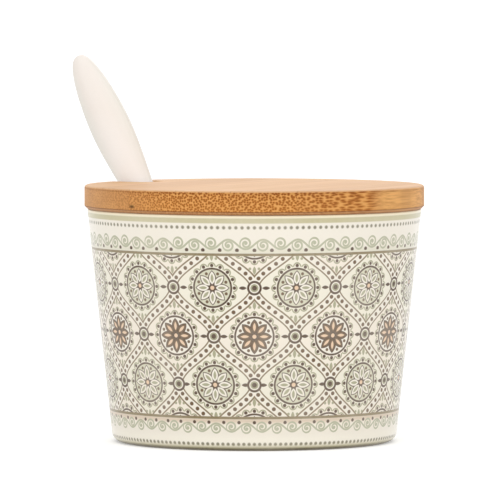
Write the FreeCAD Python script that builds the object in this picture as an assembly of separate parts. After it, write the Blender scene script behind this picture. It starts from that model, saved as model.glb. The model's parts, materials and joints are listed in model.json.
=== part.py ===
import FreeCAD, Part
import math
import os

from FreeCAD import Matrix, Vector

# Honey pot: a tapered glazed pot, a bamboo lid glued up from strips, and a porcelain spoon that
# stands in the pot and comes out through a notch in the lid's rim.
# Sizes are in millimetres. +Z is up, the origin is the middle of the foot on the table, and the
# front of the pot faces -Y.

os.makedirs("parts", exist_ok=True)

# Pot
pot_height = 68.6
rim_radius = 49.2          # outside, at the top
base_radius = 41.65        # outside, where the wall's line meets the table
wall = 4.0
floor_thickness = 5.0
heel_round = 3.0
rim_round = 1.2
floor_round = 6.0          # inside, between the floor and the wall
foot_ring_width = 5.0
foot_recess = 1.2

# Lid: a round board glued up from strips, over a plug of strips that cross them
lid_overhang = 0.8         # how far the board stands out past the pot's rim
lid_thickness = 7.0
lid_top_round = 0.8
lid_bottom_chamfer = 0.9
plug_depth = 4.5
plug_chamfer = 0.8
plug_clearance = 0.6       # between the plug and the pot's wall
strip_turn = 28.0          # degrees, turns the strips from front-to-back, their far ends to the right
notch_land = 4.0           # wood between the notch's inner end and the next strip
narrow_stave_width = 12.3  # the strip beside the notched one
right_stave_count = 4      # equal strips, right of the narrow one
front_plug_stave_count = 3 # equal strips of the plug, in front of the notch's middle
back_plug_stave_count = 2  # equal strips of the plug, behind it

# Notch in the lid's rim for the spoon, cut at the spoon's slant
notch_bearing = 142.2      # degrees from +X, towards +Y
notch_width = 10.2
notch_corner = 2.0
notch_clearance = 1.7      # between the spoon and the notch's inner end

# Spoon
spoon_length = 123.9
bowl_length = 40.0         # from the spoon's lower end to its neck
bowl_middle = 18.0         # from the lower end to the widest place of the bowl
bowl_land = 6.0            # solid length between the bowl's hollow and the neck
bowl_width = 25.0
bowl_depth = 8.0
bowl_wall = 2.0
bowl_sweep = 60.0          # radius of the sagging line of the bowl's rim, seen from the side
bowl_edge_round = 0.8
neck_length = 20.0
neck_width = 6.8
neck_thickness = 5.2
blade_width = 12.5         # the widest place of the handle
blade_thickness = 6.0
blade_length = 24.0        # from the widest place to the tip
tip_taper = 1.6            # powers of the tip's outline: an ellipse has 2 and 0.5
tip_bluntness = 0.40
spoon_lean = 31.1          # degrees from upright, outwards through the notch
spoon_twist = 70.0         # degrees, turns the spoon's face from the pot's middle to the front
seat_clearance = 0.3       # between the spoon and the pot, at the floor and at the rim


lid_radius = rim_radius + lid_overhang


def outer_radius(z):
    return base_radius + (rim_radius - base_radius) * z / pot_height


def wall_taper():
    return math.atan2(rim_radius - base_radius, pot_height)


def inner_radius(z):
    return outer_radius(z) - wall / math.cos(wall_taper())


def rim_lip():
    return min(rim_round, 0.45 * wall)


def flat_edges(shape, z):
    """The edges that lie in the level plane at height z."""
    near = 1e-4
    return [e for e in shape.Edges
            if abs(e.BoundBox.ZMin - z) < near and abs(e.BoundBox.ZMax - z) < near]


def make_pot():
    body = Part.makeCone(base_radius, rim_radius, pot_height)
    body = body.makeFillet(heel_round, flat_edges(body, 0.0))
    space = Part.makeCone(inner_radius(floor_thickness), inner_radius(pot_height),
                          pot_height - floor_thickness, Vector(0, 0, floor_thickness))
    space = space.makeFillet(floor_round, flat_edges(space, floor_thickness))
    pot = body.cut(space)
    pot = pot.makeFillet(rim_lip(), flat_edges(pot, pot_height))
    foot = min(e.BoundBox.XMax for e in flat_edges(pot, 0.0))
    recess = Part.makeCylinder(foot - foot_ring_width, foot_recess)
    return pot.cut(recess)


def bowl_share(s):
    """How much of the bowl's size the spoon has at s: 1 at the bowl's middle, 0 at the neck."""
    if s >= bowl_length:
        return 0.0
    return 0.5 + 0.5 * math.cos(math.pi * (s - bowl_middle) / (bowl_length - bowl_middle))


def blade_share(s):
    """How much of the blade's size the spoon has at s: 0 at the neck, 1 at the widest place."""
    start = bowl_length + neck_length
    end = spoon_length - blade_length
    t = min(1.0, max(0.0, (s - start) / (end - start)))
    return t * t * (3.0 - 2.0 * t)


def spoon_half(s, bowl, neck, blade):
    """Half of the spoon's width or thickness at s, measured from its lower end."""
    if s < bowl_middle:
        return bowl * math.sqrt(1.0 - (1.0 - s / bowl_middle) ** 2)
    if s > spoon_length - blade_length:
        past = (s - spoon_length + blade_length) / blade_length
        return blade * (1.0 - past ** tip_taper) ** tip_bluntness
    return neck + (bowl - neck) * bowl_share(s) + (blade - neck) * blade_share(s)


def half_width(s):
    return spoon_half(s, bowl_width / 2, neck_width / 2, blade_width / 2)


def half_thickness(s):
    return spoon_half(s, bowl_depth, neck_thickness / 2, blade_thickness / 2)


def spoon_ring(s):
    ring = Part.Wire(Part.Circle(Vector(0, 0, 0), Vector(0, 0, 1), 1.0).toShape())
    ring.rotate(Vector(0, 0, 0), Vector(0, 0, 1), -90)
    grow = Matrix()
    grow.scale(half_width(s), half_thickness(s), 1.0)
    grow.move(Vector(0, 0, s))
    return ring.transformGeometry(grow)


def spoon_stations():
    """Distances along the spoon that its rings stand at, close together at the round ends."""
    low = [bowl_middle * (1.0 - math.cos(math.radians(a))) for a in (6, 18, 34, 52, 70, 90)]
    shoulder = [bowl_middle + (bowl_length - bowl_middle) * f for f in (0.25, 0.5, 0.75, 1.0)]
    neck_end = bowl_length + neck_length
    wide = spoon_length - blade_length
    flare = [neck_end + (wide - neck_end) * f for f in (0.0, 0.33, 0.67, 1.0)]
    high = [wide + blade_length * math.sin(math.radians(a)) for a in (22, 42, 60, 74, 83, 88)]
    return low + shoulder + flare + high


def make_spoon():
    """The spoon in its own frame: X across, Y out of the bowl's open side, Z to the handle's tip."""
    body = Part.makeLoft([spoon_ring(s) for s in spoon_stations()], True)
    over = Part.makeCylinder(bowl_sweep, 2 * bowl_width,
                             Vector(-bowl_width, bowl_sweep, bowl_middle), Vector(1, 0, 0))
    # The hollow's poles lie across the bowl, so that what is left of its face is a cap round one pole
    hollow = Part.makeSphere(1.0)
    hollow.rotate(Vector(0, 0, 0), Vector(1, 0, 0), 90)
    hollow_end = bowl_length - bowl_land
    grow = Matrix()
    grow.scale(bowl_width / 2 - bowl_wall, bowl_depth - bowl_wall, (hollow_end - bowl_wall) / 2)
    grow.move(Vector(0, 0, (hollow_end + bowl_wall) / 2))
    spoon = body.cut(over).cut(hollow.transformGeometry(grow))
    rim = [f for f in spoon.Faces if isinstance(f.Surface, Part.Cylinder)]
    inner_edge = min(rim[0].Edges, key=lambda e: e.Length)
    return spoon.makeFillet(min(bowl_edge_round, 0.45 * bowl_wall), [inner_edge])


def spoon_axes():
    """The spoon's own X, Y and Z directions where it stands in the pot."""
    bearing = math.radians(notch_bearing)
    lean = math.radians(spoon_lean)
    twist = math.radians(spoon_twist)
    out = Vector(math.cos(bearing), math.sin(bearing), 0)
    aside = Vector(-math.sin(bearing), math.cos(bearing), 0)
    along = out * math.sin(lean) + Vector(0, 0, math.cos(lean))
    inward = Vector(0, 0, math.sin(lean)) - out * math.cos(lean)
    face = inward * math.cos(twist) + aside * math.sin(twist)
    return face.cross(along), face, along


def spoon_reach(z):
    """Half of the spoon's size across its slant, towards the rim, at height z."""
    lean = math.radians(spoon_lean)
    twist = math.radians(spoon_twist)
    s = (z - floor_thickness) / math.cos(lean)
    return math.hypot(half_width(s) * math.sin(twist), half_thickness(s) * math.cos(twist))


def spoon_radius(z):
    """How far from the pot's axis the spoon's middle line is at height z."""
    lean = math.radians(spoon_lean)
    lip = rim_lip()
    lip_middle = inner_radius(pot_height - lip) + lip / math.cos(wall_taper())
    gap = spoon_reach(pot_height) + seat_clearance + lip * (1.0 - math.sin(lean))
    at_rim = lip_middle - gap / math.cos(lean)
    return at_rim + (z - pot_height) * math.tan(lean)


def place_spoon(spoon):
    """Stand the spoon in the pot, its lower end at the floor and its handle at the rim."""
    across, face, along = spoon_axes()
    bearing = math.radians(notch_bearing)
    r = spoon_radius(pot_height)
    start = Vector(r * math.cos(bearing), r * math.sin(bearing), pot_height)
    turn = Matrix(across.x, face.x, along.x, start.x,
                  across.y, face.y, along.y, start.y,
                  across.z, face.z, along.z, start.z,
                  0, 0, 0, 1)
    spoon = spoon.copy()
    spoon.transformShape(turn)
    table = Part.makePlane(8 * lid_radius, 8 * lid_radius, Vector(-4 * lid_radius, -4 * lid_radius, 0))
    height = spoon.distToShape(table)[0]
    down = (height - floor_thickness - seat_clearance) / along.z
    spoon.translate(along * -down)
    return spoon


def notch_setback():
    """How far the middle of the notch's round end lies inside the spoon's middle line."""
    widest = max(spoon_reach(pot_height - plug_depth), spoon_reach(pot_height + lid_thickness))
    return widest + notch_clearance - notch_width / 2


def notch_end(z):
    """Distance from the pot's axis to the middle of the notch's round end at height z."""
    return spoon_radius(z) - notch_setback() / math.cos(math.radians(spoon_lean))


def make_notch():
    """A slot along the spoon's slant, round at its inner end and open through the rim."""
    far = 2 * lid_radius
    start = -notch_setback()
    slot = Part.makeBox(far, notch_width, 2 * far, Vector(start, -notch_width / 2, -far))
    slot = slot.fuse(Part.makeCylinder(notch_width / 2, 2 * far, Vector(start, 0, -far)))
    slot.rotate(Vector(0, 0, 0), Vector(0, 1, 0), spoon_lean)
    slot.translate(Vector(spoon_radius(pot_height), 0, pot_height))
    slot.rotate(Vector(0, 0, 0), Vector(0, 0, 1), notch_bearing)
    return slot


def mouth_corners(board, radius):
    """The two upright edges where the notch opens through the board's round side."""
    bearing = math.radians(notch_bearing)
    mouth = Vector(radius * math.cos(bearing), radius * math.sin(bearing), 0)
    found = []
    for edge in board.Edges:
        middle = edge.BoundBox.Center
        upright = edge.BoundBox.XLength + edge.BoundBox.YLength < 1e-4
        if upright and Vector(middle.x, middle.y, 0).distanceToPoint(mouth) < 0.7 * notch_width:
            found.append(edge)
    return found


def cut_notch(board, radius):
    board = board.cut(make_notch())
    return board.makeFillet(notch_corner, mouth_corners(board, radius))


def make_board():
    board = Part.makeCylinder(lid_radius, lid_thickness, Vector(0, 0, pot_height))
    board = cut_notch(board, lid_radius)
    board = board.makeFillet(lid_top_round, flat_edges(board, pot_height + lid_thickness))
    return board.makeChamfer(lid_bottom_chamfer, flat_edges(board, pot_height))


def plug_radius():
    return inner_radius(pot_height - plug_depth) - plug_clearance


def make_plug():
    low = pot_height - plug_depth
    plug = Part.makeCylinder(plug_radius(), plug_depth, Vector(0, 0, low))
    plug = cut_notch(plug, plug_radius())
    return plug.makeChamfer(plug_chamfer, flat_edges(plug, low))


def even_lines(start, end, count):
    return [start + (end - start) * i / count for i in range(count + 1)]


def board_lines():
    """Where the board's strips begin and end, measured across them from the notched side."""
    bearing = math.radians(notch_bearing + strip_turn)
    half = notch_width / 2
    long_half = half / math.cos(math.radians(spoon_lean))
    inner_end = notch_end(pot_height) * math.cos(bearing)
    inner_end += math.hypot(long_half * math.cos(bearing), half * math.sin(bearing))
    notched = inner_end + notch_land
    right = even_lines(notched + narrow_stave_width, lid_radius, right_stave_count)
    return [-lid_radius, notched] + right


def plug_lines():
    """Where the plug's strips begin and end, from front to back, with a joint at the notch's middle."""
    middle = notch_end(pot_height) * math.sin(math.radians(notch_bearing + strip_turn))
    front = even_lines(-plug_radius(), middle, front_plug_stave_count)
    return front + even_lines(middle, plug_radius(), back_plug_stave_count)[1:]


def make_staves(board, lines, bearing):
    """Saw a round board into strips. The lines are measured along the given bearing, in degrees."""
    far = 2 * lid_radius
    staves = []
    for low, high in zip(lines, lines[1:]):
        strip = Part.makeBox(high - low, 2 * far, 2 * far, Vector(low, -far, pot_height - far))
        strip.rotate(Vector(0, 0, 0), Vector(0, 0, 1), bearing)
        staves.append(board.common(strip))
    return staves


def export(shape, node):
    shape.exportStep("parts/" + node + ".step")


export(make_pot(), "pot")
export(place_spoon(make_spoon()), "spoon")
for number, stave in enumerate(make_staves(make_board(), board_lines(), -strip_turn), 1):
    export(stave, "lid_stave_%d" % number)
for number, stave in enumerate(make_staves(make_plug(), plug_lines(), 90 - strip_turn), 1):
    export(stave, "plug_stave_%d" % number)
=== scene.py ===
"""Looks of a honey pot: a printed, glazed pot, a lid glued up from bamboo strips and a porcelain spoon.

The frame is in metres, with +Z up and the front of the pot towards -Y. Sizes named here are in
millimetres, and MM turns them into metres.
"""

import json
import math

import bmesh
import bpy
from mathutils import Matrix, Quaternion, Vector


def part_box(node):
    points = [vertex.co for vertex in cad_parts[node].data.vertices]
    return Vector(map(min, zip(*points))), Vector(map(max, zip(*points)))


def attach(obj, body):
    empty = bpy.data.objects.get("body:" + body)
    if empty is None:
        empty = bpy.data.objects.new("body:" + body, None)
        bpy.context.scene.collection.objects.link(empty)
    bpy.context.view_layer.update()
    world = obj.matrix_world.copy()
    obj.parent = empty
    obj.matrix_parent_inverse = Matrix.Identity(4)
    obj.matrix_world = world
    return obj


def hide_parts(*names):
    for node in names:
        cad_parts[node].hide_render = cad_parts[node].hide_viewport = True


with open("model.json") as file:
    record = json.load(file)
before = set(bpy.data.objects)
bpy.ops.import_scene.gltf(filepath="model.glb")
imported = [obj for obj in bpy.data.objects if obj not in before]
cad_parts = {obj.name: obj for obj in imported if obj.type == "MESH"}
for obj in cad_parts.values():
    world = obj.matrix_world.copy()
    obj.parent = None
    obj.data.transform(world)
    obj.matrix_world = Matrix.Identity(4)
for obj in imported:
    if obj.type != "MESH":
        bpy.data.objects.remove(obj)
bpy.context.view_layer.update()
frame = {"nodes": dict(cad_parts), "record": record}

MM = 0.001
FULL_TURN = 2 * math.pi

# Pot, in millimetres
POT_HEIGHT = 68.6
RIM_RADIUS = 49.2
BASE_RADIUS = 41.65
WALL = 4.0
FLOOR_THICKNESS = 5.0
HEEL_ROUND = 3.0
RIM_ROUND = 1.2            # inner edge of the rim
RIM_EDGE_ROUND = 0.5       # outer edge of the rim
FLOOR_ROUND = 6.0
FOOT_RING_WIDTH = 5.0
FOOT_RECESS = 1.2
FOOT_EDGE_ROUND = 0.4
POT_SIDES = 240

# Degrees from +X to the direction across the board's strips, and across the plug's
BOARD_BEARING = -28.0
PLUG_BEARING = 62.0

# Degrees that the spoon's face is turned about its handle, from the pot's middle to the front
SPOON_TWIST = 70.0

# Heights of the printed bands on the pot's wall, in millimetres above the table
RIM_STRIPE = (66.3, 67.75)
BASE_STRIPE = (-1.0, 1.45)
BASE_EDGE_PRINT_AND_SHADE = (-1.0, 0.9)
DOT_ROWS = (65.06, 2.1)
BORDER_MIDDLES = (60.25, 6.95)
BORDER_HALF_HEIGHT = 2.15
RULES = (57.24, 9.8)
RULE_HALF_WIDTH = 0.37
UPPER_RULE_SHADE = 1.8     # height of the tint over the upper rule
LOWER_RULE_SHADE = 1.6     # height of the tint under the lower rule
FIELD = (10.1, 56.9)
BASE_CREAM_TOP = 4.4


def colour(red, green, blue):
    """A colour given as 0 to 255 on screen, as the linear values that shaders take."""
    def linear(level):
        share = level / 255
        return share / 12.92 if share <= 0.04045 else ((share + 0.055) / 1.055) ** 2.4
    return (linear(red), linear(green), linear(blue), 1.0)


PAINTED_LIGHT_RIM_CREAM = colour(255, 244, 211)
BASE_CREAM = colour(255, 249, 234)
CREAM = colour(250, 243, 229)
WARM_CREAM = colour(252, 242, 226)
COOL_CREAM = colour(249, 243, 225)
PEACH = colour(244, 210, 176)
SAGE = colour(172, 169, 136)
VINE_SAGE = colour(186, 187, 158)
PALE_SAGE = colour(222, 219, 194)
OLIVE = colour(206, 198, 158)
TAN = colour(216, 190, 162)
DARK_OLIVE_AND_SHADE = colour(114, 104, 72)
BEAD_BROWN = colour(106, 79, 48)
DOT_GREY = colour(134, 129, 106)
LINE_BROWN = colour(128, 106, 70)
RULE_BROWN = colour(140, 124, 88)
DARK_BROWN = colour(76, 49, 24)
BARE_CLAY = colour(226, 214, 192)


class Field:
    """A number that varies over a surface. A depth is in millimetres, and above 0 inside a shape."""

    def __init__(self, finish, socket):
        self.finish = finish
        self.socket = socket

    def __add__(self, other):
        return self.finish.maths("ADD", self, other)

    def __sub__(self, other):
        return self.finish.maths("SUBTRACT", self, other)

    def __rsub__(self, other):
        return self.finish.maths("SUBTRACT", other, self)

    def __mul__(self, other):
        return self.finish.maths("MULTIPLY", self, other)

    def __truediv__(self, other):
        return self.finish.maths("DIVIDE", self, other)

    def __abs__(self):
        return self.finish.maths("ABSOLUTE", self)

    def __or__(self, other):
        return self.finish.maths("MAXIMUM", self, other)

    def __and__(self, other):
        return self.finish.maths("MINIMUM", self, other)

    def over(self, level):
        return self.finish.maths("GREATER_THAN", self, level)

    def repeat(self):
        """The distance to the nearest whole number, from -0.5 to 0.5."""
        return self.finish.maths("WRAP", self, 0.5, -0.5)

    def sine(self):
        return self.finish.maths("SINE", self)

    def cosine(self):
        return self.finish.maths("COSINE", self)

    def root(self):
        return self.finish.maths("SQRT", self)

    def edge(self, soft):
        """The depth as a mask, 1 inside, with an edge that fades over the width soft."""
        return self.finish.maths("MULTIPLY_ADD", self, 1 / soft, 0.5, clamp=True)

    def pick(self, low, high):
        """The number low where this mask is 0, and high where it is 1."""
        return low + (high - low) * self if isinstance(high, Field) else self * (high - low) + low


class Finish:
    """A material, and the steps that draw on it."""

    def __init__(self, name):
        self.material = bpy.data.materials.new(name)
        self.material.use_nodes = True
        self.nodes = self.material.node_tree.nodes
        self.links = self.material.node_tree.links
        self.shader = self.nodes["Principled BSDF"]

    def add(self, kind, **settings):
        node = self.nodes.new("ShaderNode" + kind)
        for name, value in settings.items():
            setattr(node, name, value)
        return node

    def give(self, socket, value):
        source = value.socket if isinstance(value, Field) else value
        if isinstance(source, bpy.types.NodeSocket):
            self.links.new(source, socket)
        else:
            socket.default_value = source

    def maths(self, operation, *values, clamp=False):
        node = self.add("Math", operation=operation, use_clamp=clamp)
        for socket, value in zip(node.inputs, values):
            self.give(socket, value)
        return Field(self, node.outputs[0])

    def length(self, across, up):
        """The distance from the point where both measures are 0."""
        return self.maths("MULTIPLY_ADD", across, across, up * up).root()

    def places(self):
        """The three Object coordinates, in millimetres."""
        source = self.add("TexCoord")
        scaled = self.add("VectorMath", operation="SCALE")
        self.give(scaled.inputs[0], source.outputs["Object"])
        self.give(scaled.inputs["Scale"], 1 / MM)
        split = self.add("SeparateXYZ")
        self.give(split.inputs[0], scaled.outputs[0])
        return [Field(self, socket) for socket in split.outputs]

    def turned(self, x, y, bearing):
        """Places along a bearing, given in degrees from +X, and square to it."""
        cos, sin = math.cos(math.radians(bearing)), math.sin(math.radians(bearing))
        return x * cos + y * sin, y * cos - x * sin

    def point(self, *values):
        node = self.add("CombineXYZ")
        for socket, value in zip(node.inputs, values):
            self.give(socket, value)
        return node.outputs[0]

    def noise(self, place, scale, detail=2.0):
        """Cloudy noise from 0 to 1, with about scale lumps to each unit of place."""
        node = self.add("TexNoise")
        self.give(node.inputs["Vector"], place)
        self.give(node.inputs["Scale"], scale)
        self.give(node.inputs["Detail"], detail)
        return Field(self, node.outputs["Fac"])

    def paint(self, under, mask, ink):
        """The colour under, covered by ink where mask is 1."""
        node = self.add("Mix", data_type="RGBA")
        self.give(node.inputs["Factor"], mask)
        self.give(node.inputs["A"], under)
        self.give(node.inputs["B"], ink)
        return node.outputs["Result"]

    def bump(self, height, strength, distance):
        node = self.add("Bump")
        self.give(node.inputs["Strength"], strength)
        self.give(node.inputs["Distance"], distance)
        self.give(node.inputs["Height"], height)
        self.give(self.shader.inputs["Normal"], node.outputs[0])


def linked(finish, socket_name, value):
    """Give the shader's named socket a value."""
    finish.give(finish.shader.inputs[socket_name], value)


# Print on the pot's wall

def dotted_rows(glaze, turn, girth, z):
    """One row of small dots under the rim stripe and one over the base stripe."""
    count = 172
    radius = 0.48
    along = (turn * count).repeat() * girth / count
    up = abs(z - DOT_ROWS[0]) & abs(z - DOT_ROWS[1])
    return (radius - glaze.length(along, up)).edge(0.36)


def vine_borders(glaze, turn, girth, z):
    """A running vine: a wavy stem with a curl under each arch, and berries. Sizes are in arches."""
    arches = 60
    stem_rise = 0.27
    stem_half = 0.056
    curl_pitch = 0.2
    curl_reach = 0.36
    curl_drop = 0.05
    bud = 0.085
    berry = 0.11
    berry_drop = 0.34
    soft = 0.03
    place = turn * arches
    across = glaze.maths("FRACT", place) - 0.5
    other_way = glaze.maths("FLOORED_MODULO", glaze.maths("FLOOR", place), 2.0)
    upper = z.over(POT_HEIGHT / 2)
    height = upper.pick(BORDER_MIDDLES[1] - z, z - BORDER_MIDDLES[0])
    rise = height / (girth / arches)
    up = rise * other_way.pick(1.0, -1.0)
    swing = across * math.pi
    below_stem = swing.cosine() * stem_rise - up
    slope = swing.sine() * (stem_rise * math.pi)
    steep = glaze.maths("MULTIPLY_ADD", slope, slope, 1.0).root()
    stem = stem_half - abs(below_stem) / steep
    from_middle = up + curl_drop
    reach = glaze.length(across, from_middle)
    bearing = glaze.maths("ARCTAN2", across, from_middle) * (1 / FULL_TURN)
    curl = stem_half - abs((reach * (1 / curl_pitch) - bearing).repeat()) * curl_pitch
    curl = curl & (curl_reach - reach) & below_stem
    beside = berry - glaze.length(0.5 - abs(across), rise + berry_drop)
    limit = (BORDER_HALF_HEIGHT - abs(height)).edge(0.1)
    vine = (stem | curl | bud - reach).edge(soft) * limit
    berries = beside.edge(soft) * limit
    return vine, berries


def ogee_field(glaze, turn, girth, z, under):
    """An all-over ogee trellis of beads, with a round lace flower in each mesh. Sizes are in mm."""
    columns = 12
    mesh_height = 28.2
    middle = (FIELD[0] + FIELD[1]) / 2
    soft = 0.14
    mesh_width = girth / columns
    across = (turn * columns).repeat()
    up = (z - middle) * (1 / mesh_height)
    swing = up * FULL_TURN
    half_width = swing.cosine() * 0.25 + 0.25
    slope = swing.sine() * mesh_width * (FULL_TURN / 4 / mesh_height)
    steep = glaze.maths("MULTIPLY_ADD", slope, slope, 1.0).root()
    beyond = (abs(across) - half_width) * mesh_width / steep

    # The flower's own place in its mesh, in every second column half a mesh higher
    second = beyond.over(0.0)
    own_across = (across + second * 0.5).repeat() * mesh_width
    own_up = (up + second * 0.5).repeat() * mesh_height
    reach = glaze.length(own_across, own_up)
    bearing = glaze.maths("ARCTAN2", own_across, own_up)

    def spokes(count, shift=0.0):
        """Distance sideways from the nearest of count spokes."""
        near = (bearing * (count / FULL_TURN) + shift).repeat()
        return near * reach * (FULL_TURN / count)

    def leaf(along, aside, half_length, half_wide):
        """Depth inside a pointed leaf."""
        bulge = glaze.maths("MULTIPLY_ADD", along * along, -half_wide / half_length ** 2, half_wide)
        return bulge - abs(aside)

    def dot(along, aside, radius):
        return radius - glaze.length(along, aside)

    def ring(radius, half_wide):
        return half_wide - abs(reach - radius)

    # Trellis
    bead_count = 20
    line_offset = 1.2
    line_half_width = 0.21
    past_bead = (up * bead_count).repeat() * (1 / bead_count)
    bead_half_width = ((up - past_bead) * FULL_TURN).cosine() * 0.25 + 0.25
    bead_aside = (abs(across) - bead_half_width) * mesh_width
    beads = dot(past_bead * mesh_height, bead_aside, radius=0.58).edge(soft)
    inside = abs(beyond) - line_offset
    trellis = (line_half_width - abs(inside)).edge(soft)
    tint = glaze.paint(WARM_CREAM, second, COOL_CREAM)
    under = glaze.paint(under, inside.edge(soft), tint)
    under = glaze.paint(under, trellis, LINE_BROWN)
    under = glaze.paint(under, beads, BEAD_BROWN)

    # Leaves in the narrow ends and at the sides of the mesh
    sprig_height = 9.0
    side_leaf_reach = 8.9
    bud_drop = 0.5
    bud_aside = 1.3
    far_up = abs(own_up) - sprig_height
    sprig = leaf(far_up, own_across, half_length=1.2, half_wide=0.5)
    sprig = sprig | dot(far_up + bud_drop, abs(own_across) - bud_aside, radius=0.4)
    under = glaze.paint(under, sprig.edge(soft), SAGE)
    side = leaf(abs(own_across) - side_leaf_reach, own_up, half_length=1.15, half_wide=0.5)
    under = glaze.paint(under, side.edge(soft), DARK_BROWN)

    # Studs where the trellis crosses itself
    stud_radius = 2.05
    stud_ring_radius = 1.8
    stud_ring_half_width = 0.32
    stud_heart = 1.15
    stud_eye = 0.7

    def from_crossing(shift):
        beside = (across + shift).repeat() * mesh_width
        return glaze.length(beside, (up + 0.5 - shift).repeat() * mesh_height)
    crossing = from_crossing(0.0) & from_crossing(0.5)
    stud_ring = stud_ring_half_width - abs(crossing - stud_ring_radius)
    under = glaze.paint(under, (stud_radius - crossing).edge(soft), CREAM)
    under = glaze.paint(under, stud_ring.edge(soft), DARK_BROWN)
    under = glaze.paint(under, (stud_heart - crossing).edge(soft), SAGE)
    under = glaze.paint(under, (stud_eye - crossing).edge(soft), DARK_BROWN)

    # Lace edge of arches with a dot in each
    lace_reach = 6.2
    lace_dot_reach = 6.5
    arch_radius = 1.05
    arch_half_width = 0.2
    aside = spokes(16)
    arch = arch_half_width - abs(glaze.length(reach - lace_reach, aside) - arch_radius)
    arch = arch & (reach - lace_reach)
    under = glaze.paint(under, arch.edge(soft), SAGE)
    under = glaze.paint(under, dot(reach - lace_dot_reach, aside, radius=0.5).edge(soft), DARK_BROWN)
    under = glaze.paint(under, ring(radius=5.55, half_wide=0.3).edge(soft), DARK_BROWN)

    # Flower of petals with an outline and a vein each
    petals = 8
    flower_radius = 5.3
    petal_reach = 2.9
    petal_outline = 0.32
    vein_reach = 2.8
    seed_reach = 4.4
    eye_radius = 1.05
    pupil_radius = 0.6
    heart = glaze.paint(CREAM, second, PALE_SAGE)
    petal_ink = glaze.paint(BEAD_BROWN, second, CREAM)
    vein_ink = glaze.paint(PEACH, second, SAGE)
    under = glaze.paint(under, (flower_radius - reach).edge(soft), heart)
    petal = leaf(reach - petal_reach, spokes(petals), half_length=1.9, half_wide=0.95)
    under = glaze.paint(under, (petal + petal_outline).edge(soft), DARK_BROWN)
    under = glaze.paint(under, petal.edge(soft), petal_ink)
    vein = leaf(reach - vein_reach, spokes(petals), half_length=1.25, half_wide=0.42)
    under = glaze.paint(under, vein.edge(soft), vein_ink)
    seed = dot(reach - seed_reach, spokes(petals, shift=0.5), radius=0.45)
    under = glaze.paint(under, seed.edge(soft), BEAD_BROWN)
    under = glaze.paint(under, (eye_radius - reach).edge(soft), DARK_BROWN)
    return glaze.paint(under, (pupil_radius - reach).edge(soft), PEACH)


def pot_glaze():
    glaze = Finish("printed_cream_glaze")
    x, y, z = glaze.places()
    turn = glaze.maths("ARCTAN2", x, 0.0 - y) * (1 / FULL_TURN)
    taper = (RIM_RADIUS - BASE_RADIUS) / POT_HEIGHT
    girth = (z * taper + BASE_RADIUS) * FULL_TURN
    reach = glaze.length(x, y)
    print_depth = HEEL_ROUND + WALL / 8    # how far in from the outside the print reaches
    outside = (reach - (z * taper + (BASE_RADIUS - print_depth))).edge(0.2)

    def between(low, high, soft=0.12):
        return ((z - low) & (high - z)).edge(soft)

    body = glaze.point(x, y, z)
    tone = glaze.noise(body, 0.05)
    grain = glaze.noise(body, 0.9, 4.0)
    field = ogee_field(glaze, turn, girth, z, CREAM)
    ground = glaze.paint(CREAM, (BASE_CREAM_TOP - z).edge(1.6), BASE_CREAM)
    print_colour = glaze.paint(ground, between(*FIELD), field)
    upper_shade = between(RULES[0], RULES[0] + UPPER_RULE_SHADE, 1.6) * 0.6
    lower_shade = between(RULES[1] - LOWER_RULE_SHADE, RULES[1], 1.2) * 0.7
    print_colour = glaze.paint(print_colour, upper_shade, PALE_SAGE)
    print_colour = glaze.paint(print_colour, lower_shade, TAN)
    vine, berries = vine_borders(glaze, turn, girth, z)
    print_colour = glaze.paint(print_colour, vine, VINE_SAGE)
    print_colour = glaze.paint(print_colour, berries, DARK_BROWN)
    for height in RULES:
        rule = between(height - RULE_HALF_WIDTH, height + RULE_HALF_WIDTH)
        print_colour = glaze.paint(print_colour, rule, RULE_BROWN)
    print_colour = glaze.paint(print_colour, dotted_rows(glaze, turn, girth, z), DOT_GREY)
    # Painted light: the rim over the stripe lighter and warmer than the glaze, against the shade under the
    # lid's edge
    print_colour = glaze.paint(print_colour, (z - RIM_STRIPE[1]).edge(0.3), PAINTED_LIGHT_RIM_CREAM)
    print_colour = glaze.paint(print_colour, between(*RIM_STRIPE, 0.3), OLIVE)
    print_colour = glaze.paint(print_colour, between(*BASE_STRIPE, 1.2), OLIVE)
    # The print's dark olive edge at the foot, darkened further with painted shade of the heel
    print_colour = glaze.paint(print_colour, between(*BASE_EDGE_PRINT_AND_SHADE, 0.6), DARK_OLIVE_AND_SHADE)

    # The print is a little worn: its ink lets some of the glaze through
    wear = grain * 0.2 + 0.86
    inked = glaze.maths("MULTIPLY", outside, wear, clamp=True)
    print_colour = glaze.paint(CREAM, inked, print_colour)
    print_colour = glaze.paint(print_colour, (tone - 0.35) * 0.5, WARM_CREAM)

    # The foot ring is bare clay where it stands on the table
    bare_height = 0.25
    ring_inside = BASE_RADIUS - HEEL_ROUND - FOOT_RING_WIDTH - 1
    foot = (bare_height - z).edge(0.2) * (reach - ring_inside).edge(0.3)
    print_colour = glaze.paint(print_colour, foot, BARE_CLAY)
    linked(glaze, "Base Color", print_colour)
    linked(glaze, "Roughness", grain * 0.12 + foot * 0.5 + 0.16)
    linked(glaze, "Specular IOR Level", 0.3)
    glaze.bump(glaze.noise(body, 0.35, 3.0), 0.12, 0.1 * MM)
    return glaze.material


def extent(node, direction):
    """Where a node begins and ends along a direction, in millimetres."""
    measures = [vertex.co.dot(direction) / MM for vertex in frame["nodes"][node].data.vertices]
    return min(measures), max(measures)


def handle_across():
    """The direction across the spoon's handle, which slides along the joint's axis."""
    joints = frame["record"]["behaviour"]["joints"]
    along = next(Vector(joint["axis"]) for joint in joints if joint["child"] == "spoon")
    across = Vector((0.0, 0.0, 1.0)).cross(along).normalized()
    across.rotate(Quaternion(along, -math.radians(SPOON_TWIST)))
    return across


HANDLE_WHITE = colour(244, 236, 228)
CLOUD_WHITE = colour(240, 231, 222)
PAINTED_LIGHT_WHITE = colour(249, 245, 241)
PAINTED_EDGE_SHADE_WHITE = colour(236, 232, 223)


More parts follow.
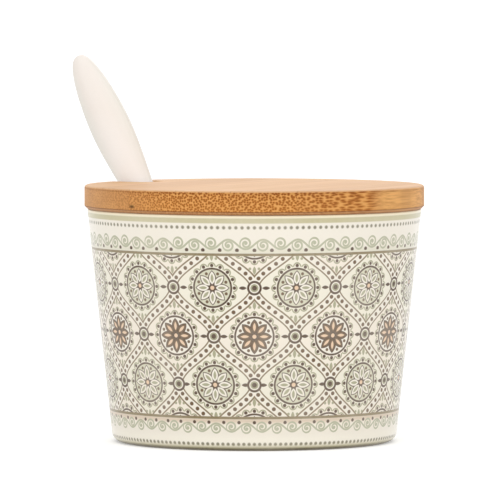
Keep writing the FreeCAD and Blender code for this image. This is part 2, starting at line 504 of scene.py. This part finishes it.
def porcelain():
    """White porcelain, with painted shade that makes it a little greyer towards both edges of the handle,
    and painted light that makes it whiter near the lid. Sizes are in mm.
    """
    painted_light_top = 87.0          # height under which painted light makes the handle brighter, near the lid
    painted_light_fade = 20.0
    edge_aside = 4.2           # from the handle's middle line to where its edges begin
    edge_fade = 4.0
    white = Finish("white_porcelain")
    x, y, z = white.places()
    across = handle_across()
    middle = sum(extent("spoon", across)) / 2
    aside = x * across.x + y * across.y + z * across.z - middle
    body = white.point(x, y, z)
    cloud = white.noise(body, 0.06)
    grain = white.noise(body, 0.5, 3.0)
    tone = white.paint(HANDLE_WHITE, (cloud - 0.3) * 0.9, CLOUD_WHITE)
    # Painted light: whiter and cooler near the lid, against the warm light the bamboo casts on it
    tone = white.paint(tone, (painted_light_top - z).edge(painted_light_fade), PAINTED_LIGHT_WHITE)
    # Painted shade: a little greyer towards both edges of the handle
    tone = white.paint(tone, (abs(aside) - edge_aside).edge(edge_fade), PAINTED_EDGE_SHADE_WHITE)
    linked(white, "Base Color", tone)
    linked(white, "Roughness", grain * 0.12 + 0.14)
    white.bump(grain, 0.1, 0.1 * MM)
    return white.material


# Bamboo

TOP_GRAIN = colour(236, 192, 144)
SIDE_GRAIN = colour(236, 180, 118)
END_GRAIN = colour(222, 146, 66)
PALE_GRAIN = colour(243, 182, 106)
FIBRE_BROWN = colour(136, 68, 12)
# Dark glue joints, and painted shade lines along the rim's edges
JOINT_AND_SHADE_BROWN = colour(112, 58, 24)
# Painted light reflected from the pot onto the chamfer
CHAMFER_BOUNCE_TAN = colour(190, 142, 102)
CHIP_BROWN = colour(92, 60, 26)


def bamboo(name, node, bearing, radius, seed, flecks, warmth, fade=1.0, drawn=0.0, chip=None):
    """Bamboo for one strip of a round board, with the bearing across its fibres in degrees.

    The rim cuts the fibres across and shows their dark bundles as flecks, which draw out into streaks
    as the rim turns along the fibres. The share of flecks is given for the front end and the back end
    of the strip, and is fade times that at its first edge. Warmth is given at the first edge and the
    last. Bundles are wider towards the last edge by the share drawn. A chip is a dark spot on the
    front, given by its X and Z. Sizes are in mm.
    """
    rim_depth = 0.8            # how far in from the round side the rim's look begins
    top_edge = 0.42            # how far under the top face it ends
    least_cut = 0.29           # sine of the least angle between rim and fibres that shows flecks
    bundles_per_mm = 1.4
    bundle_wander = 0.35
    fleck_radius = 0.22        # as a share of the bundles' spacing, with what is added at the top
    fleck_growth = 0.1
    wood = Finish(name)
    low, high = (corner[2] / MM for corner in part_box(node))
    turn = math.radians(bearing)
    first, last = extent(node, Vector((math.cos(turn), math.sin(turn), 0.0)))
    x, y, up = wood.places()
    across, fibre = wood.turned(x, y, bearing)
    from_axis = wood.length(x, y)
    rim = (from_axis - (radius - rim_depth)).edge(0.6) * (high - top_edge - up).edge(0.2)
    cut_across = (abs(fibre) / from_axis - least_cut).edge(0.12)
    ends = cut_across * rim * fibre.over(0.0).pick(*flecks)
    share = (across - first) * (1 / (last - first))
    ends = ends * share.pick(fade, 1.0)
    level = (up - low) * (1 / (high - low))

    # Fleck of each bundle, larger and darker towards the top
    wander = wood.noise(wood.point(across, up, fibre * 0.02 + seed), 0.9, 1.0) - 0.5
    bundles = wood.add("TexVoronoi", voronoi_dimensions="2D", feature="F1")
    spread = across - share * share * (drawn / 2 * (last - first)) + wander * bundle_wander
    wood.give(bundles.inputs["Vector"], wood.point(spread, up - wander * bundle_wander + seed))
    wood.give(bundles.inputs["Scale"], bundles_per_mm)
    wood.give(bundles.inputs["Randomness"], 0.8)
    from_bundle = Field(wood, bundles.outputs["Distance"])
    depth = level * fleck_growth + fleck_radius - from_bundle
    core = depth.edge(0.28) * 0.75
    halo = (depth + 0.14).edge(0.5) * 0.25
    fleck = (core + halo) * (level * 0.35 + 0.65) * ends
    between = (from_bundle - 0.5).edge(0.3) * ends

    streak = wood.noise(wood.point(across * 1.4, up * 2.6, fibre * 0.04 + seed), 1.0, 3.0)
    broad = wood.noise(wood.point(across * 0.22, up * 0.25, fibre * 0.008 + seed), 1.0, 2.0)
    grain = wood.paint(TOP_GRAIN, rim, SIDE_GRAIN)
    grain = wood.paint(grain, ends, END_GRAIN)
    long_grain = rim - cut_across * rim
    grain = wood.paint(grain, long_grain * 0.75, PALE_GRAIN)
    darker = wood.maths("MULTIPLY_ADD", broad, 1.1, share.pick(*warmth) - 0.55, clamp=True)
    grain = wood.paint(grain, darker * (0.3 - long_grain * 0.2), FIBRE_BROWN)
    lines = wood.maths("MULTIPLY_ADD", streak, 1.6, -0.6, clamp=True)
    grain = wood.paint(grain, lines * (rim * 0.35 + long_grain * 0.3 + 0.15), FIBRE_BROWN)
    grain = wood.paint(grain, between * 0.7, PALE_GRAIN)
    grain = wood.paint(grain, fleck, FIBRE_BROWN)

    # Painted shade: dark lines under the rim's top edge, at the top of the chamfer and along the lid's
    # bottom edge, with painted light on the chamfer between them
    chamfer_height = 0.9
    top_line_drop = 0.75
    chamfer_line_rise = 0.95
    bottom_line_height = 0.3
    outer_depth = 1.2
    top_shade_line = (0.2 - abs(high - top_line_drop - up)).edge(0.3) * 0.3
    chamfer_shade_line = (0.14 - abs(up - low - chamfer_line_rise)).edge(0.14) * 0.6
    bottom_shade_line = (low + bottom_line_height - up).edge(0.3) * 0.45
    outer = (from_axis - (radius - outer_depth)).edge(0.4)
    chamfer = (low + chamfer_height - up).edge(0.1) * outer
    # Painted light: the chamfer, which faces down onto the pot, paler with the light the pot reflects onto
    # it
    grain = wood.paint(grain, chamfer * 0.6, CHAMFER_BOUNCE_TAN)
    # Painted shade: dark lines under the rim's top edge, at the top of the chamfer and along the bottom
    # edge
    grain = wood.paint(grain, top_shade_line * rim | (chamfer_shade_line | bottom_shade_line) * outer, JOINT_AND_SHADE_BROWN)
    if chip:
        chip_radius = 0.45
        chip_stretch = 0.65
        spot = chip_radius - wood.length((x - chip[0]) * chip_stretch, up - chip[1])
        grain = wood.paint(grain, spot.edge(0.5) * (0.0 - y).over(0.0) * 0.9, CHIP_BROWN)
    glue_line = 0.1
    joint = (glue_line - ((across - first) & (last - across))).edge(0.1)
    grain = wood.paint(grain, joint * (0.34 - rim * 0.22), JOINT_AND_SHADE_BROWN)
    linked(wood, "Base Color", grain)
    linked(wood, "Roughness", streak * 0.2 + 0.42)
    linked(wood, "Specular IOR Level", 0.18)
    wood.bump(streak * 0.4 - fleck * 0.6, 0.25, 0.08 * MM)
    return wood.material


# Meshes

def set_material(piece, material):
    piece.data.materials.clear()
    piece.data.materials.append(material)


def outer_radius(z):
    return BASE_RADIUS + (RIM_RADIUS - BASE_RADIUS) * z / POT_HEIGHT


def pot_outline(shape):
    """The pot's section: a line from the axis under the foot, over the rim, to the axis on the floor."""
    taper = math.atan2(RIM_RADIUS - BASE_RADIUS, POT_HEIGHT)
    wall = WALL / math.cos(taper)
    heel_reach = HEEL_ROUND / math.tan((math.pi / 2 + taper) / 2)
    foot_inner = BASE_RADIUS - heel_reach - FOOT_RING_WIDTH
    corners = [
        (0.0, FOOT_RECESS, 0.0),
        (foot_inner, FOOT_RECESS, FOOT_EDGE_ROUND),
        (foot_inner, 0.0, FOOT_EDGE_ROUND),
        (BASE_RADIUS, 0.0, HEEL_ROUND),
        (RIM_RADIUS, POT_HEIGHT, RIM_EDGE_ROUND),
        (RIM_RADIUS - wall, POT_HEIGHT, RIM_ROUND),
        (outer_radius(FLOOR_THICKNESS) - wall, FLOOR_THICKNESS, FLOOR_ROUND),
        (0.0, FLOOR_THICKNESS, 0.0),
    ]
    points = [Vector((r, 0.0, z)) * MM for r, z, _ in corners]
    verts = [shape.verts.new(point) for point in points]
    for start, end in zip(verts, verts[1:]):
        shape.edges.new((start, end))
    for i, (_, _, rounding) in enumerate(corners):
        if rounding:
            before, after = points[i - 1] - points[i], points[i + 1] - points[i]
            reach = rounding * MM / math.tan(before.angle(after) / 2)
            bmesh.ops.bevel(shape, geom=[verts[i]], offset=reach, offset_type="OFFSET", segments=8,
                            profile=0.5, affect="VERTICES", material=-1)


def wrap_round(shape):
    """Lay the pot out flat for its colour map: two halves of the wall, the inside, the floor, the foot."""
    uv = shape.loops.layers.uv.new("OFBake")
    strip = 0.385              # height of the map that each half of the wall takes
    gap = 0.006
    inside_band = (0.79, 0.08)  # where a band starts on the map, and its height
    floor_band = (0.88, 0.05)
    foot_band = (0.94, 0.05)
    least_level = 0.75         # share of a face's direction that points up or down if it is level
    for face in shape.faces:
        middle = face.calc_center_median()
        facing = math.atan2(middle.x, -middle.y)
        wall_middle = (outer_radius(middle.z / MM) - WALL / 2) * MM
        outside = Vector((middle.x, middle.y)).length > wall_middle
        flat = abs(face.normal.z) > least_level
        foot = middle.z <= FOOT_RECESS * 2 * MM
        for loop in face.loops:
            place = loop.vert.co
            reach = Vector((place.x, place.y)).length
            turn = facing
            if reach > 1e-9:
                turn += (math.atan2(place.x, -place.y) - facing + math.pi) % FULL_TURN - math.pi
            rise = place.z / MM / POT_HEIGHT
            if outside and not flat:
                back = abs(facing) > math.pi / 2
                from_edge = (turn + math.pi / 2) if not back else (turn % FULL_TURN - math.pi / 2)
                across = from_edge / math.pi
                up = (strip + gap) * back + gap + rise * (strip - gap)
            else:
                across = (turn + math.pi) / FULL_TURN
                share = reach / (RIM_RADIUS * MM) if flat else rise
                level_band = foot_band if foot else floor_band
                start, height = level_band if flat else inside_band
                up = start + height * share
            loop[uv].uv = (gap + across * (1 - 2 * gap), up)


def make_pot():
    shape = bmesh.new()
    pot_outline(shape)
    bmesh.ops.spin(shape, geom=shape.verts[:] + shape.edges[:], cent=(0, 0, 0), axis=(0, 0, 1),
                   angle=FULL_TURN, steps=POT_SIDES, use_merge=True)
    bmesh.ops.remove_doubles(shape, verts=shape.verts[:], dist=0.005 * MM)
    bmesh.ops.recalc_face_normals(shape, faces=shape.faces[:])
    for face in shape.faces:
        face.smooth = True
    wrap_round(shape)
    mesh = bpy.data.meshes.new("glazed_pot")
    shape.to_mesh(mesh)
    shape.free()
    piece = bpy.data.objects.new("glazed_pot", mesh)
    bpy.context.scene.collection.objects.link(piece)
    set_material(piece, pot_glaze())
    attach(piece, "pot")
    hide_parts("pot")


def finish_lid():
    """Each strip has its own run of fibres. The first two, near the notch, are plainer than the rest."""
    board_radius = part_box("lid_stave_6")[1][0] / MM
    board_looks = [
        dict(flecks=(0.15, 0.15), warmth=(0.7, 0.8)),
        dict(flecks=(0.4, 0.3), warmth=(1.0, 0.95), fade=0.3),
        dict(flecks=(0.95, 0.6), warmth=(0.75, 0.6), fade=0.55, chip=(-35.5, 70.6)),
        dict(flecks=(0.95, 0.8), warmth=(0.6, 0.65)),
        dict(flecks=(0.95, 0.8), warmth=(0.7, 0.75)),
        dict(flecks=(0.88, 0.25), warmth=(0.9, 0.8), drawn=0.7)]
    for number, look in enumerate(board_looks, 1):
        node = f"lid_stave_{number}"
        name = f"board_bamboo_{number}"
        seed = 7.3 * number
        finish = bamboo(name, node, BOARD_BEARING, board_radius, seed, **look)
        set_material(frame["nodes"][node], finish)
    plug_radius = -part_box("plug_stave_1")[0][1] / MM
    plug_looks = [
        dict(flecks=(0.6, 0.6), warmth=(0.6, 0.6)),
        dict(flecks=(0.5, 0.5), warmth=(0.8, 0.7)),
        dict(flecks=(0.65, 0.65), warmth=(0.7, 0.7)),
        dict(flecks=(0.55, 0.55), warmth=(0.5, 0.6)),
        dict(flecks=(0.6, 0.6), warmth=(0.65, 0.65))]
    for number, look in enumerate(plug_looks, 1):
        node = f"plug_stave_{number}"
        name = f"plug_bamboo_{number}"
        seed = 90 + 5.1 * number
        finish = bamboo(name, node, PLUG_BEARING, plug_radius, seed, **look)
        set_material(frame["nodes"][node], finish)


# Studio

def make_floor():
    shape = bmesh.new()
    bmesh.ops.create_circle(shape, cap_ends=True, segments=64, radius=30.0)
    mesh = bpy.data.meshes.new("floor")
    shape.to_mesh(mesh)
    shape.free()
    floor = bpy.data.objects.new("floor", mesh)
    bpy.context.scene.collection.objects.link(floor)
    paper = Finish("white_paper")
    linked(paper, "Base Color", colour(232, 232, 232))
    linked(paper, "Roughness", 0.9)
    linked(paper, "Specular IOR Level", 0.0)
    rays = paper.add("LightPath")
    seen = Field(paper, rays.outputs["Is Camera Ray"]) | Field(paper, rays.outputs["Is Glossy Ray"])
    seen = seen | Field(paper, rays.outputs["Is Transmission Ray"])
    linked(paper, "Emission Color", (1.0, 1.0, 1.0, 1.0))
    linked(paper, "Emission Strength", seen * 0.35)
    set_material(floor, paper.material)


def make_world():
    world = bpy.data.worlds.new("white_studio")
    world.use_nodes = True
    bpy.context.scene.world = world
    nodes, links = world.node_tree.nodes, world.node_tree.links
    room = nodes["Background"]
    room.inputs["Color"].default_value = (1.0, 1.0, 1.0, 1.0)
    room.inputs["Strength"].default_value = 0.57
    white = nodes.new("ShaderNodeBackground")
    white.inputs["Color"].default_value = (1.0, 1.0, 1.0, 1.0)
    white.inputs["Strength"].default_value = 1.0
    rays = nodes.new("ShaderNodeLightPath")
    seen = rays.outputs["Is Camera Ray"]
    for name in ("Is Glossy Ray", "Is Transmission Ray"):
        either = nodes.new("ShaderNodeMath")
        either.operation = "MAXIMUM"
        links.new(seen, either.inputs[0])
        links.new(rays.outputs[name], either.inputs[1])
        seen = either.outputs[0]
    pick = nodes.new("ShaderNodeMixShader")
    links.new(seen, pick.inputs["Fac"])
    links.new(room.outputs[0], pick.inputs[1])
    links.new(white.outputs[0], pick.inputs[2])
    links.new(pick.outputs[0], nodes["World Output"].inputs["Surface"])


def make_lamp(name, place, spread, strength):
    """A wide soft lamp, far away, so that it lights the floor evenly."""
    lamp = bpy.data.lights.new(name, "SUN")
    lamp.angle = math.radians(spread)
    lamp.energy = strength
    holder = bpy.data.objects.new(name, lamp)
    holder.location = place
    holder.rotation_euler = (-Vector(place)).to_track_quat("-Z", "Y").to_euler()
    bpy.context.scene.collection.objects.link(holder)


def make_camera():
    """The photograph's view: from the front, a little above the lid, with a long lens."""
    place = (-0.001275, -2.0675, 0.15704)
    looks_down = 2.789         # degrees
    lens = bpy.data.cameras.new("camera")
    lens.sensor_width = 36.0
    lens.lens = 506.0
    lens.clip_end = 100.0
    camera = bpy.data.objects.new("camera", lens)
    camera.location = place
    camera.rotation_euler = (math.radians(90 - looks_down), 0.0, 0.0)
    bpy.context.scene.collection.objects.link(camera)
    bpy.context.scene.camera = camera


make_pot()
finish_lid()
set_material(frame["nodes"]["spoon"], porcelain())
make_floor()
make_world()
make_lamp("key_lamp", (-1.3, -1.9, 1.9), 70, 0.88)
make_lamp("fill_lamp", (1.7, -1.6, 1.5), 70, 0.66)
make_lamp("back_lamp", (0.3, 2.2, 1.9), 70, 0.77)
make_camera()
bpy.context.scene.view_settings.view_transform = "Standard"
